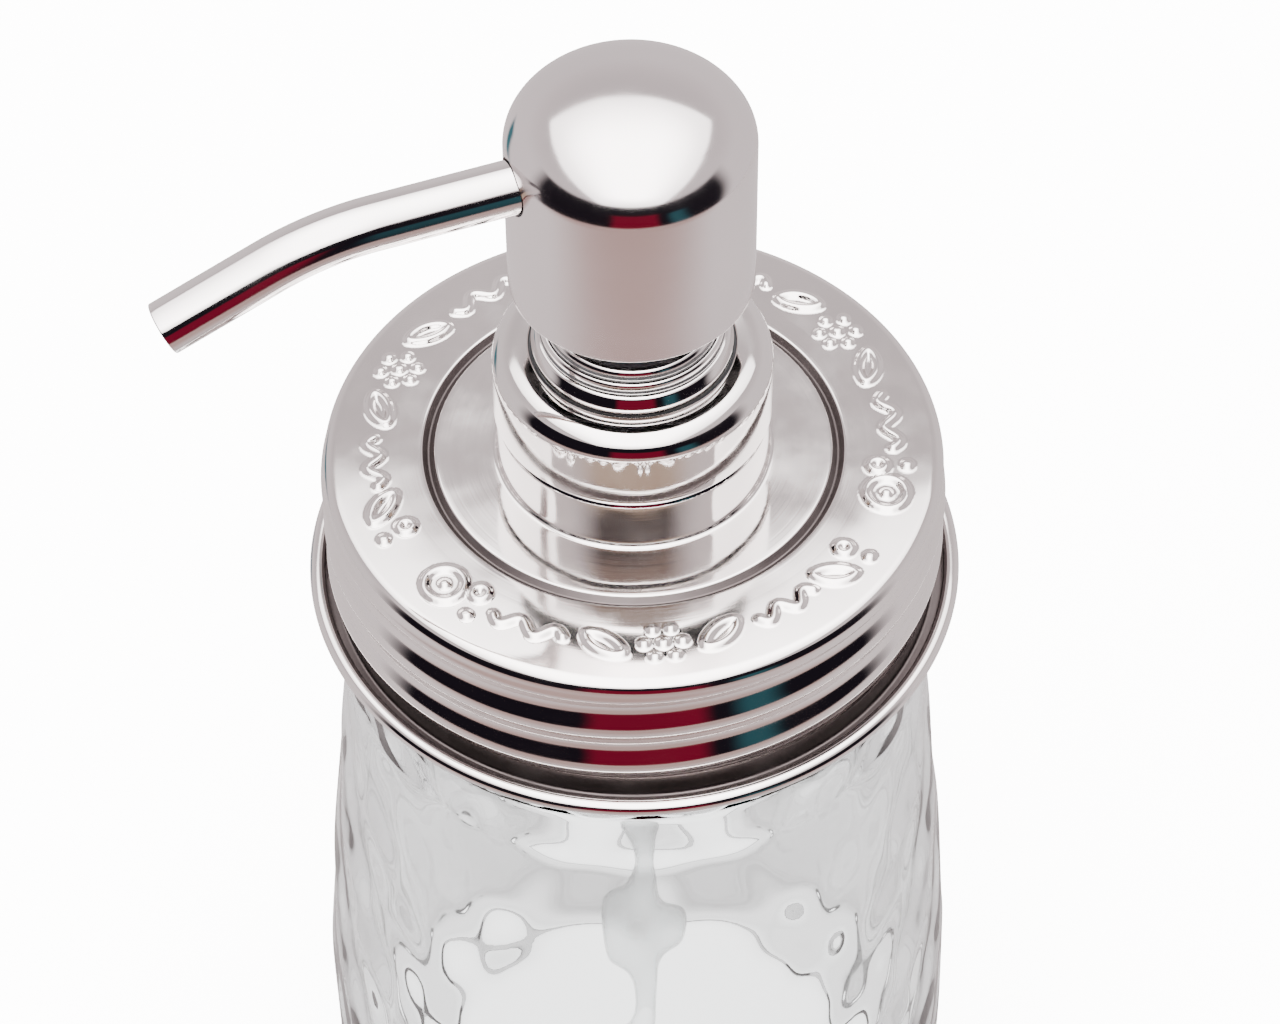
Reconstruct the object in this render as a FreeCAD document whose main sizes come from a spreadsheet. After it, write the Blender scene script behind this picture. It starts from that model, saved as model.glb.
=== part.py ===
import FreeCAD, Part

import math
import os

import Sketcher
from FreeCAD import Placement, Rotation, Vector

# Soap pump dispenser: a faceted glass jar, a pressed steel screw lid, and a hand pump
# with a domed steel head and a bent steel spout.  Millimetres, +Z up.  The origin is the
# middle of the jar's flat base; the spout points along -X.

SIZES = [
    ("jar_height", 128.0, "glass jar, base to rim"),
    ("jar_radius", 40.0, "glass jar at its widest"),
    ("base_radius", 36.5, "flat foot of the jar"),
    ("shoulder_radius", 34.7, "top row of facets"),
    ("foot_height", 4.0, "chamfer above the foot"),
    ("facet_low", 13.0, "lowest row of facet corners"),
    ("facet_step", 12.0, "half the height of one diamond"),
    ("facet_depth", 0.8, "how far a diamond's middle is sunk"),
    ("facet_turn", 5.3, "angle of the first facet corner, degrees"),
    ("taper_low", 37.0, "height where the jar starts to narrow"),
    ("taper_power", 1.25, "roundness of the narrowing"),
    ("glass_wall", 4.0, "wall behind the facets"),
    ("glass_base", 6.0, "thickness of the jar's base"),
    ("mouth_radius", 30.4, "bore of the jar's mouth"),
    ("neck_radius", 33.4, "outside of the jar's neck, under the thread"),
    ("neck_low", 104.0, "bottom of the jar's neck"),
    ("jar_crest", 34.3, "crest of the jar's thread"),
    ("jar_pitch", 6.35, "pitch of the jar's thread"),
    ("jar_thread_turns", 1.4, "turns of that thread"),
    ("jar_thread_width", 2.6, "width of its ridge at the root"),
    ("jar_thread_start", 8.0, "start of the thread above the bottom of the neck"),
    ("jar_rim_edge", 0.9, "chamfer at the jar's rim"),
    ("support_height", 3.0, "top of the bead under the jar's thread, above the neck's bottom"),
    ("inner_corner", 7.0, "rounding between the jar's inside wall and floor"),
    ("throat_drop", 5.0, "where the mouth's bore starts, below the top row of facets"),
    ("sheet", 0.4, "steel sheet of the lid, collar and head"),
    ("seal_thick", 1.6, "seal between jar rim and lid"),
    ("seal_inner", 29.0, "inner radius of that seal"),
    ("seal_outer", 33.9, "outer radius of that seal"),
    ("plate_top", 130.0, "top face of the lid"),
    ("lid_flat", 34.0, "edge of the lid's flat top"),
    ("lid_edge", 1.5, "rounding at the lid's edge"),
    ("band_crest", 35.9, "lid's rolled thread, outer crest"),
    ("band_valley", 35.0, "lid's rolled thread, outer valley"),
    ("first_valley", 4.4, "first valley of the rolled thread, below the lid's top"),
    ("first_crest", 8.1, "first crest, below the lid's top"),
    ("second_valley", 10.8, "second valley, below the lid's top"),
    ("second_crest", 14.2, "second crest, below the lid's top"),
    ("third_valley", 16.8, "third valley, below the lid's top"),
    ("bead_middle", 36.95, "middle radius of the lid's curled bead"),
    ("bead_round", 1.15, "thickness radius of the bead"),
    ("bead_height", 110.6, "height of the bead's middle"),
    ("groove_radius", 23.4, "ring pressed into the lid's top"),
    ("groove_half", 0.9, "half the width of that ring"),
    ("groove_round", 1.0, "radius of that ring's section"),
    ("boss_radius", 15.5, "raised boss in the middle of the lid"),
    ("boss_height", 7.2, "boss top above the lid's top"),
    ("boss_edge", 0.8, "rounding at the boss's top"),
    ("boss_root", 0.5, "rounding at the boss's foot"),
    ("boss_hole", 12.2, "hole through the boss"),
    ("insert_barrel", 11.9, "neck adapter where it passes the lid"),
    ("insert_flange", 14.4, "flange of the neck adapter"),
    ("insert_bore", 10.6, "bore of the neck adapter"),
    ("insert_neck", 12.3, "neck adapter, under its thread"),
    ("insert_crest", 13.1, "crest of the neck adapter's thread"),
    ("insert_pitch", 4.2, "pitch of the collar's thread"),
    ("insert_turns", 0.6, "turns of that thread"),
    ("insert_width", 1.1, "width of its ridge at the root"),
    ("insert_start", 3.2, "start of the adapter's thread, below its top"),
    ("closure_start", 1.1, "start of the collar's thread, below the adapter's top"),
    ("insert_flange_thick", 1.2, "thickness of the adapter's flange"),
    ("insert_low", 133.2, "bottom of the neck adapter"),
    ("insert_top", 143.6, "top of the neck adapter"),
    ("washer_thick", 0.8, "rubber washers at the neck"),
    ("nut_low", 133.9, "bottom of the neck nut"),
    ("nut_corner", 14.4, "neck nut across its corners, halved"),
    ("nut_bore", 12.0, "bore of the neck nut"),
    ("flange_radius", 12.2, "flange of the pump housing"),
    ("flange_thick", 1.2, "thickness of that flange"),
    ("cup_outer", 10.2, "upper barrel of the housing, outside"),
    ("cup_inner", 8.9, "upper barrel of the housing, inside"),
    ("cup_low", 139.0, "bottom of the upper barrel"),
    ("barrel_outer", 6.5, "pump barrel, outside"),
    ("barrel_bore", 5.3, "pump barrel, bore"),
    ("barrel_high", 135.5, "top of the pump barrel"),
    ("barrel_low", 100.0, "bottom of the barrel's bore"),
    ("seat_height", 97.0, "inlet valve seat"),
    ("seat_bore", 1.6, "bore of the inlet valve seat"),
    ("socket_outer", 4.2, "dip tube socket, outside"),
    ("socket_bore", 3.05, "dip tube socket, bore"),
    ("socket_low", 88.0, "bottom of the dip tube socket"),
    ("socket_high", 94.0, "stop at the top of the dip tube"),
    ("tube_outer", 3.0, "dip tube, outside"),
    ("tube_inner", 2.4, "dip tube, inside"),
    ("tube_low", 12.0, "bottom of the dip tube"),
    ("inlet_ball_radius", 2.4, "inlet valve ball"),
    ("inlet_ball_height", 98.85, "middle of the inlet ball on its seat"),
    ("cage_low", 102.8, "ball cage, underside"),
    ("cage_top", 104.0, "ball cage, top"),
    ("cage_outer", 5.25, "ball cage, outside"),
    ("cage_hole", 2.0, "ball cage, hole"),
    ("spring_wire", 0.35, "radius of the spring's wire"),
    ("spring_radius", 4.2, "middle radius of the spring"),
    ("spring_turns", 6.0, "turns of the spring"),
    ("stem_radius", 3.6, "stem, outside"),
    ("stem_bore", 2.2, "stem, bore"),
    ("stem_foot", 4.6, "flange at the stem's foot"),
    ("stem_low", 119.0, "bottom of the stem"),
    ("stem_top", 171.2, "top of the stem"),
    ("outlet_seat", 166.5, "outlet valve seat"),
    ("outlet_bore", 1.3, "bore of the outlet valve seat"),
    ("outlet_ball_radius", 1.7, "outlet valve ball"),
    ("outlet_ball_height", 167.65, "middle of the outlet ball on its seat"),
    ("stop_low", 170.2, "underside of the outlet ball's stop"),
    ("piston_low", 120.0, "bottom of the piston"),
    ("piston_top", 127.0, "top of the piston"),
    ("piston_lip", 5.25, "piston's sealing lips"),
    ("piston_body", 4.7, "piston between its lips"),
    ("piston_lip_height", 1.3, "height of each lip"),
    ("piston_bevel", 0.9, "how far the piston's ends are bevelled"),
    ("guide_outer", 5.0, "lower tube of the lock ring"),
    ("guide_low", 127.3, "bottom of the lock ring"),
    ("guide_bore", 3.7, "bore of the lock ring"),
    ("plug_outer", 8.75, "lock ring where it snaps into the housing"),
    ("plug_taper", 2.4, "height of the taper under it"),
    ("ring_neck", 10.0, "lock ring where it passes the collar"),
    ("ring_base", 146.95, "underside of the lock ring's steps"),
    ("step_one", 11.3, "lowest step of the steel lock ring cover"),
    ("step_two", 10.7, "middle step"),
    ("step_three", 10.0, "top step"),
    ("step_one_top", 149.5, "top of the lowest step"),
    ("step_two_top", 150.9, "top of the middle step"),
    ("step_three_top", 152.3, "top of the top step"),
    ("step_round", 0.55, "rounding of the steps"),
    ("cover_hole", 5.6, "hole through the steel lock ring cover"),
    ("cover_sheet", 0.35, "sheet of the lock ring cover"),
    ("cover_gap", 0.02, "gap between the cover and the lock ring"),
    ("collar_radius", 15.8, "steel collar, outside"),
    ("collar_low", 137.5, "bottom of the collar"),
    ("collar_top", 147.5, "top of the collar"),
    ("collar_round", 2.9, "rounding of the collar's shoulder"),
    ("collar_hole", 11.6, "hole in the collar's top"),
    ("collar_dip", 0.25, "how far the collar's top dips at that hole"),
    ("insert_inset", 0.3, "collar insert above the collar's lower edge"),
    ("web_low", 145.75, "underside of the collar insert's web"),
    ("web_top", 146.75, "top of that web"),
    ("web_hole", 10.3, "hole in that web"),
    ("thread_bore", 13.5, "collar insert's bore"),
    ("thread_minor", 12.65, "crest of the collar insert's thread"),
    ("skirt_bore", 14.75, "collar insert's bore over the flange"),
    ("skirt_top", 139.5, "top of that wider bore"),
    ("head_radius", 13.6, "steel head, outside"),
    ("head_low", 158.0, "bottom edge of the head"),
    ("head_spring", 177.7, "where the head's dome starts"),
    ("dome_height", 7.85, "height of the dome, half of an ellipse"),
    ("core_low", 162.6, "underside of the head core"),
    ("core_radius", 13.15, "head core, outside"),
    ("core_socket", 3.65, "head core's socket for the stem"),
    ("core_hub", 6.0, "hub around that socket"),
    ("core_rim", 11.9, "inside of the core's outer wall"),
    ("core_pocket", 170.0, "top of the hollow between hub and wall"),
    ("core_shelf", 176.8, "where the core's top narrows"),
    ("core_crest", 181.0, "top of the core"),
    ("core_crest_radius", 11.2, "radius of the core's top"),
    ("core_passage", 2.0, "passage from stem to spout"),
    ("rib_thick", 1.2, "ribs in the head core"),
    ("rib_count", 6.0, "number of those ribs"),
    ("spout_height", 175.7, "axis of the spout at the head"),
    ("spout_radius", 3.0, "spout tube, outside"),
    ("spout_bore", 2.6, "spout tube, bore"),
    ("spout_start", 3.5, "inner end of the spout, from the axis"),
    ("spout_reach", 28.7, "where the spout starts to bend, from the axis"),
    ("spout_bend", 30.4, "radius of the spout's bend"),
    ("spout_angle", 22.7, "how far the spout bends down, degrees"),
    ("spout_tip", 12.9, "straight length after the bend"),
    ("spout_hole", 3.3, "hole for the spout in the steel head"),
    ("spout_socket", 3.02, "socket for the spout in the core"),
]

FACETS = 16
FACET_ROWS = 8
CROWN = "crown"
DOME_SLOPES = (0, 30, 55, 75)

doc = FreeCAD.newDocument("SoapPumpDispenser")
sheet = doc.addObject("Spreadsheet::Sheet", "Sizes")
for row, (alias, number, note) in enumerate(SIZES, start=1):
    sheet.set(f"A{row}", alias)
    sheet.set(f"B{row}", str(number))
    sheet.set(f"C{row}", note)
    sheet.setAlias(f"B{row}", alias)
doc.recompute()


class Size:
    """A length as a number, with the sheet expression that it comes from."""

    def __init__(self, number, text):
        self.number = number
        self.text = text

    def __add__(self, other):
        other = as_size(other)
        return Size(self.number + other.number, f"({self.text} + {other.text})")

    def __sub__(self, other):
        other = as_size(other)
        return Size(self.number - other.number, f"({self.text} - {other.text})")

    def __mul__(self, factor):
        return Size(self.number * factor, f"({self.text} * {factor})")


def as_size(value):
    if isinstance(value, Size):
        return value
    return Size(float(value), str(value))


def cell(alias):
    """The sheet's cell of this name, as a Size."""
    return Size(float(getattr(sheet, alias)), f"Sizes.{alias}")


def number(alias):
    return cell(alias).number


def bind(thing, target, size):
    size = as_size(size)
    thing.setExpression(target, size.text)


nodes = []


def node(thing, name):
    """Marks a finished sub-part; its Label names its file."""
    thing.Label = name
    nodes.append(thing)
    return thing


def arc_between(start, end, radius, turn):
    """Arc from start to end; turn is 1 for anticlockwise, -1 for clockwise."""
    middle = (start + end) * 0.5
    chord = end - start
    half = chord.Length / 2
    rise = radius - math.sqrt(max(radius * radius - half * half, 0.0))
    side = Vector(chord.y, -chord.x, 0).normalize()
    return Part.Arc(start, middle + side * rise * turn, end)


def crown_radius(start, end):
    """Radius of the arc between two points that is level where it meets the axis."""
    chord = end - start
    return chord.Length ** 2 / (2 * abs(chord.y))


def turned(name, outline):
    """A body revolved about Z.

    The outline is a closed list of corners (radius, height), or of arcs
    (radius, height, arc radius, turn) that reach their corner from the one before.
    An arc radius of CROWN is an arc that crosses the axis squarely.
    """
    body = doc.addObject("PartDesign::Body", name + "_body")
    sketch = body.newObject("Sketcher::SketchObject", name + "_outline")
    plane = [item for item in body.Origin.OriginFeatures if item.Role == "XZ_Plane"][0]
    sketch.AttachmentSupport = (plane, [""])
    sketch.MapMode = "FlatFace"
    corners = [(as_size(item[0]), as_size(item[1])) for item in outline]
    places = [Vector(radius.number, height.number, 0) for radius, height in corners]
    for index, item in enumerate(outline):
        start = places[index - 1]
        end = places[index]
        if len(item) == 4:
            bend = crown_radius(start, end) if item[2] == CROWN else as_size(item[2]).number
            sketch.addGeometry(arc_between(start, end, bend, item[3]), False)
        else:
            sketch.addGeometry(Part.LineSegment(start, end), False)
    ends = []
    for index, item in enumerate(outline):
        clockwise = len(item) == 4 and item[3] < 0
        ends.append((2, 1) if clockwise else (1, 2))
    for index in range(len(outline)):
        follower = (index + 1) % len(outline)
        sketch.addConstraint(Sketcher.Constraint(
            "Coincident", index, ends[index][1], follower, ends[follower][0]))
    for index, (radius, height) in enumerate(corners):
        point = (index, ends[index][1])
        if radius.number == 0:
            sketch.addConstraint(Sketcher.Constraint("PointOnObject", *point, -2))
        else:
            place = sketch.addConstraint(Sketcher.Constraint(
                "DistanceX", -1, 1, *point, radius.number))
            bind(sketch, f"Constraints[{place}]", radius)
        place = sketch.addConstraint(Sketcher.Constraint(
            "DistanceY", -1, 1, *point, height.number))
        bind(sketch, f"Constraints[{place}]", height)
        if len(outline[index]) == 4 and outline[index][2] == CROWN:
            sketch.addConstraint(Sketcher.Constraint("PointOnObject", index, 3, -2))
        elif len(outline[index]) == 4:
            bend = as_size(outline[index][2])
            place = sketch.addConstraint(Sketcher.Constraint("Radius", index, bend.number))
            bind(sketch, f"Constraints[{place}]", bend)
    revolution = body.newObject("PartDesign::Revolution", name + "_turned")
    revolution.Profile = sketch
    revolution.ReferenceAxis = (sketch, ["V_Axis"])
    revolution.Angle = 360
    sketch.Visibility = False
    body.Tip = revolution
    return body


def cylinder(name, radius, low, high):
    thing = doc.addObject("Part::Cylinder", name)
    bind(thing, "Radius", radius)
    bind(thing, "Height", as_size(high) - low)
    bind(thing, "Placement.Base.z", low)
    return thing


def cut(name, base, tool):
    thing = doc.addObject("Part::Cut", name)
    thing.Base = base
    thing.Tool = tool
    return thing


def tube(name, inner, outer, low, high):
    """A plain ring or tube."""
    rod = cylinder(name + "_rod", outer, low, high)
    bore = cylinder(name + "_bore", inner, as_size(low) - 1, as_size(high) + 1)
    return cut(name + "_tube", rod, bore)


def side_cylinder(name, radius, height, near, far):
    """A cylinder along -X at a height, from near to far of the axis."""
    thing = doc.addObject("Part::Cylinder", name)
    bind(thing, "Radius", radius)
    bind(thing, "Height", as_size(far) - near)
    thing.Placement = Placement(Vector(0, 0, 0), Rotation(Vector(0, 1, 0), -90))
    bind(thing, "Placement.Base.x", as_size(near) * -1)
    bind(thing, "Placement.Base.z", height)
    return thing


def ridge(radius, crest, pitch, turns, width, bury=0.4):
    """A helical thread ridge, right-handed, that reaches from radius to crest."""
    helix = Part.makeHelix(pitch, pitch * turns, radius)
    root = radius - bury if crest > radius else radius + bury
    half_root = width / 2
    half_crest = width / 5
    points = [
        Vector(root, 0, -half_root),
        Vector(crest, 0, -half_crest),
        Vector(crest, 0, half_crest),
        Vector(root, 0, half_root),
    ]
    profile = Part.makePolygon(points + points[:1])
    return Part.Wire(helix).makePipeShell([profile], True, True)


def feature(name, shape, low=0.0):
    """A computed shape, set down at a height."""
    thing = doc.addObject("Part::Feature", name)
    thing.Shape = shape
    thing.Placement = Placement(Vector(0, 0, low), Rotation())
    return thing


# ---- glass jar -------------------------------------------------------------------------

def jar_outside(height):
    """Radius of the facet corners at a height."""
    span = number("facet_low") + number("facet_step") * (FACET_ROWS - 1) - number("taper_low")
    along = max(height - number("taper_low"), 0.0) / span
    narrowing = number("jar_radius") - number("shoulder_radius")
    return number("jar_radius") - narrowing * along ** number("taper_power")


def faceted_block():
    """Closed solid of the jar's outside, below its neck."""
    count = 2 * FACETS
    turn = math.radians(number("facet_turn"))

    def ring(height, radii):
        corners = []
        for index in range(count):
            angle = turn + 2 * math.pi * index / count
            radius = radii[index % 2]
            corners.append(Vector(radius * math.cos(angle), radius * math.sin(angle), height))
        return corners

    rings = [ring(0, [number("base_radius")] * 2)]
    rings.append(ring(number("foot_height"), [jar_outside(0) - number("facet_depth")] * 2))
    for level in range(FACET_ROWS):
        height = number("facet_low") + number("facet_step") * level
        high = jar_outside(height)
        low = high - number("facet_depth")
        rings.append(ring(height, [high, low] if level % 2 == 0 else [low, high]))
    rings.append(ring(number("neck_low"), [number("shoulder_radius") - number("facet_depth")] * 2))

    faces = [Part.Face(Part.makePolygon(rings[0] + rings[0][:1]))]
    faces.append(Part.Face(Part.makePolygon(rings[-1] + rings[-1][:1])))
    for level in range(len(rings) - 1):
        below = rings[level]
        above = rings[level + 1]
        for index in range(count):
            after = (index + 1) % count
            if (index + level) % 2 == 0:
                triangles = [(below[index], below[after], above[after]),
                             (below[index], above[after], above[index])]
            else:
                triangles = [(below[index], below[after], above[index]),
                             (below[after], above[after], above[index])]
            for corners in triangles:
                faces.append(Part.Face(Part.makePolygon(list(corners) + [corners[0]])))
    return Part.makeSolid(Part.makeShell(faces))


def jar_neck():
    """Neck above the facets, with its support ring and a rounded rim."""
    radius = number("neck_radius")
    low = number("neck_low")
    top = number("jar_height")
    support = number("jar_crest")
    support_top = low + number("support_height")
    rim = number("jar_rim_edge")
    overlap = 2
    points = [(0, low - overlap), (radius, low - overlap), (radius, low), (support, low + 1),
              (support, support_top), (radius, support_top + 1), (radius, top - rim),
              (radius - rim, top), (0, top)]
    wire = Part.makePolygon([Vector(x, 0, z) for x, z in points + points[:1]])
    return Part.Face(wire).revolve(Vector(0, 0, 0), Vector(0, 0, 1), 360)


def jar_inside():
    """The space inside the jar: a round-cornered body that narrows to the mouth."""
    wall = number("glass_wall")
    floor = number("glass_base")
    corner = number("inner_corner")
    widest = number("jar_radius") - wall
    start = number("taper_low")
    top_row = number("facet_low") + number("facet_step") * (FACET_ROWS - 1)
    throat = top_row - number("throat_drop")
    mouth = number("mouth_radius")
    heights = [start + (throat - start) * step / 4 for step in range(5)]
    points = [Vector(jar_outside(height) - wall, 0, height) for height in heights]
    points[-1] = Vector(mouth, 0, throat)
    taper = Part.BSplineCurve()
    taper.interpolate(points)
    bend = Vector(widest - corner, 0, floor + corner)
    middle = bend + Vector(math.cos(math.pi / 4), 0, -math.sin(math.pi / 4)) * corner
    top = Vector(mouth, 0, number("jar_height") + 1)
    edges = [
        Part.LineSegment(Vector(0, 0, floor), Vector(widest - corner, 0, floor)).toShape(),
        Part.Arc(Vector(widest - corner, 0, floor), middle,
                 Vector(widest, 0, floor + corner)).toShape(),
        Part.LineSegment(Vector(widest, 0, floor + corner), points[0]).toShape(),
        taper.toShape(),
        Part.LineSegment(points[-1], top).toShape(),
        Part.LineSegment(top, Vector(0, 0, top.z)).toShape(),
        Part.LineSegment(Vector(0, 0, top.z), Vector(0, 0, floor)).toShape(),
    ]
    return Part.Face(Part.Wire(edges)).revolve(Vector(0, 0, 0), Vector(0, 0, 1), 360)


def glass_jar():
    thread = ridge(number("neck_radius"), number("jar_crest"), number("jar_pitch"),
                   number("jar_thread_turns"), number("jar_thread_width"))
    thread.translate(Vector(0, 0, number("neck_low") + number("jar_thread_start")))
    outside = faceted_block().fuse(jar_neck()).fuse(thread)
    return node(feature("jar_shape", outside.cut(jar_inside())), "glass_jar")


# ---- lid -------------------------------------------------------------------------------

def screw_lid():
    """Pressed from one disc of steel: boss, ring, rolled thread and curled bead."""
    sheet_thick = cell("sheet")
    top = cell("plate_top")
    boss_top = top + cell("boss_height")
    boss = cell("boss_radius")
    edge = cell("boss_edge")
    root = cell("boss_root")
    groove_in = cell("groove_radius") - cell("groove_half")
    groove_out = cell("groove_radius") + cell("groove_half")
    flat = cell("lid_flat")
    rim = cell("lid_edge")
    crest = cell("band_crest")
    valley = cell("band_valley")
    waves = [(valley, cell("first_valley")), (crest, cell("first_crest")),
             (valley, cell("second_valley")), (crest, cell("second_crest")),
             (valley, cell("third_valley"))]
    bead = cell("bead_middle")
    bead_height = cell("bead_height")
    bead_round = cell("bead_round")
    outline = [
        (cell("boss_hole"), boss_top),
        (boss - edge, boss_top),
        (boss, boss_top - edge, edge, -1),
        (boss, top + root),
        (boss + root, top, root, 1),
        (groove_in, top),
        (groove_out, top, cell("groove_round"), 1),
        (flat, top),
        (flat + rim, top - rim, rim, -1),
    ]
    outline += [(radius, top - drop) for radius, drop in waves]
    outline.append((bead, bead_height + bead_round))
    outline.append((bead + bead_round, bead_height, bead_round, -1))
    outline.append((bead, bead_height - bead_round, bead_round, -1))
    inner = bead - bead_round * 0.95
    outline.append((inner, bead_height - bead_round * 0.4))
    for radius, drop in reversed(waves):
        outline.append((radius - sheet_thick, top - drop - 0.1))
    outline += [
        (flat + rim - sheet_thick, top - rim),
        (flat, top - sheet_thick, rim - sheet_thick, 1),
        (groove_out + 0.2, top - sheet_thick),
        (groove_in - 0.2, top - sheet_thick, cell("groove_round") + 0.3, -1),
        (boss + root, top - sheet_thick),
        (boss - sheet_thick, top + root, root + sheet_thick, -1),
        (boss - sheet_thick, boss_top - edge),
        (boss - edge, boss_top - sheet_thick, edge - sheet_thick, 1),
        (cell("boss_hole"), boss_top - sheet_thick),
    ]
    return node(turned("lid", outline), "screw_lid")


def lid_seal():
    rim = cell("jar_height")
    ring = tube("seal", cell("seal_inner"), cell("seal_outer"), rim, rim + cell("seal_thick"))
    return node(ring, "jar_seal")


def neck_pieces():
    """Plastic threaded neck, clamped through the lid's boss by a nut and a washer."""
    boss_top = cell("plate_top") + cell("boss_height")
    flange_low = boss_top + cell("washer_thick")
    flange_top = flange_low + cell("insert_flange_thick")
    washer = tube("neck_washer", cell("boss_hole"), cell("insert_flange"), boss_top, flange_low)
    node(washer, "neck_washer")
    body = turned("adapter", [
        (cell("insert_bore"), cell("insert_low")),
        (cell("insert_barrel"), cell("insert_low")),
        (cell("insert_barrel"), flange_low),
        (cell("insert_flange"), flange_low),
        (cell("insert_flange"), flange_top),
        (cell("insert_neck"), flange_top),
        (cell("insert_neck"), cell("insert_top")),
        (cell("insert_bore"), cell("insert_top")),
    ])
    thread = ridge(number("insert_neck"), number("insert_crest"), number("insert_pitch"),
                   number("insert_turns"), number("insert_width"))
    whole = doc.addObject("Part::Fuse", "adapter_whole")
    whole.Base = body
    whole.Tool = feature("adapter_thread", thread,
                         number("insert_top") - number("insert_start"))
    node(whole, "neck_adapter")
    hexagon = doc.addObject("Part::Prism", "nut_blank")
    hexagon.Polygon = 6
    bind(hexagon, "Circumradius", cell("nut_corner"))
    bind(hexagon, "Height", boss_top - cell("sheet") - cell("nut_low"))
    bind(hexagon, "Placement.Base.z", cell("nut_low"))
    bore = cylinder("nut_bore", cell("nut_bore"), cell("nut_low") - 1, boss_top + 1)
    node(cut("nut", hexagon, bore), "neck_nut")


# ---- pump ------------------------------------------------------------------------------

def pump_housing():
    flange_low = cell("insert_top") + cell("washer_thick")
    flange_top = flange_low + cell("flange_thick")
    washer = tube("flange_washer", cell("insert_bore"), cell("flange_radius"),
                  cell("insert_top"), flange_low)
    node(washer, "flange_washer")
    outline = [
        (cell("flange_radius"), flange_top),
        (cell("flange_radius"), flange_low),
        (cell("cup_outer"), flange_low),
        (cell("cup_outer"), cell("cup_low")),
        (cell("barrel_outer"), cell("barrel_high")),
        (cell("barrel_outer"), cell("barrel_low") - 1.5),
        (cell("socket_outer"), cell("barrel_low") - 4.5),
        (cell("socket_outer"), cell("socket_low")),
        (cell("socket_bore"), cell("socket_low")),
        (cell("socket_bore"), cell("socket_high")),
        (cell("seat_bore"), cell("socket_high")),
        (cell("seat_bore"), cell("seat_height")),
        (cell("barrel_bore"), cell("barrel_low")),
        (cell("barrel_bore"), cell("barrel_high") + 1.5),
        (cell("cup_inner"), cell("cup_low") + 1.3),
        (cell("cup_inner"), flange_top),
    ]
    node(turned("housing", outline), "pump_housing")
    node(tube("dip", cell("tube_inner"), cell("tube_outer"), cell("tube_low"),
              cell("socket_high")), "dip_tube")
    node(tube("cage", cell("cage_hole"), cell("cage_outer"), cell("cage_low"),
              cell("cage_top")), "ball_cage")


def ball(name, radius, height):
    thing = doc.addObject("Part::Sphere", name + "_sphere")
    bind(thing, "Radius", radius)
    bind(thing, "Placement.Base.z", height)
    return node(thing, name)


def pump_spring():
    wire = number("spring_wire")
    low = number("cage_top") + wire
    high = number("stem_low") - wire
    radius = number("spring_radius")
    height = high - low
    helix = Part.makeHelix(height / number("spring_turns"), height, radius)
    circle = Part.Circle(Vector(radius, 0, 0), Vector(0, 1, 0), wire)
    profile = Part.Wire(circle.toShape())
    coil = Part.Wire(helix).makePipeShell([profile], True, True)
    return node(feature("spring_coil", coil, low), "pump_spring")


def lock_ring():
    """Plastic guide that holds the plunger in, with a stepped steel cover on it."""
    flange_top = cell("insert_top") + cell("washer_thick") + cell("flange_thick")
    base = cell("ring_base")
    skin = cell("cover_sheet")
    gap = cell("cover_gap")
    one = cell("step_one") - skin - gap
    two = cell("step_two") - skin - gap
    three = cell("step_three") - skin - gap
    one_top = cell("step_one_top") - skin - gap
    two_top = cell("step_two_top") - skin - gap
    three_top = cell("step_three_top") - skin - gap
    rounding = cell("step_round")
    guide = turned("guide", [
        (cell("guide_bore"), cell("guide_low")),
        (cell("guide_outer"), cell("guide_low")),
        (cell("guide_outer"), cell("cup_low")),
        (cell("plug_outer"), cell("cup_low") + cell("plug_taper")),
        (cell("plug_outer"), flange_top),
        (cell("ring_neck"), flange_top),
        (cell("ring_neck"), base),
        (one, base),
        (one, one_top - rounding),
        (one - rounding, one_top),
        (two, one_top),
        (two, two_top - rounding),
        (two - rounding, two_top),
        (three, two_top),
        (three, three_top - rounding),
        (three - rounding, three_top),
        (cell("guide_bore"), three_top),
    ])
    node(guide, "lock_ring")
    cover = turned("cover", [
        (cell("step_one"), base),
        (cell("step_one"), cell("step_one_top") - rounding),
        (cell("step_one") - rounding, cell("step_one_top"), rounding, 1),
        (cell("step_two"), cell("step_one_top")),
        (cell("step_two"), cell("step_two_top") - rounding),
        (cell("step_two") - rounding, cell("step_two_top"), rounding, 1),
        (cell("step_three"), cell("step_two_top")),
        (cell("step_three"), cell("step_three_top") - rounding),
        (cell("step_three") - rounding, cell("step_three_top"), rounding, 1),
        (cell("cover_hole"), cell("step_three_top")),
        (cell("cover_hole"), cell("step_three_top") - skin),
        (cell("step_three") - skin - rounding, cell("step_three_top") - skin),
        (cell("step_three") - skin, cell("step_three_top") - skin - rounding),
        (cell("step_three") - skin, cell("step_two_top") - skin),
        (cell("step_two") - skin - rounding, cell("step_two_top") - skin),
        (cell("step_two") - skin, cell("step_two_top") - skin - rounding),
        (cell("step_two") - skin, cell("step_one_top") - skin),
        (cell("step_one") - skin - rounding, cell("step_one_top") - skin),
        (cell("step_one") - skin, cell("step_one_top") - skin - rounding),
        (cell("step_one") - skin, base),
    ])
    node(cover, "lock_ring_cover")


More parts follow.
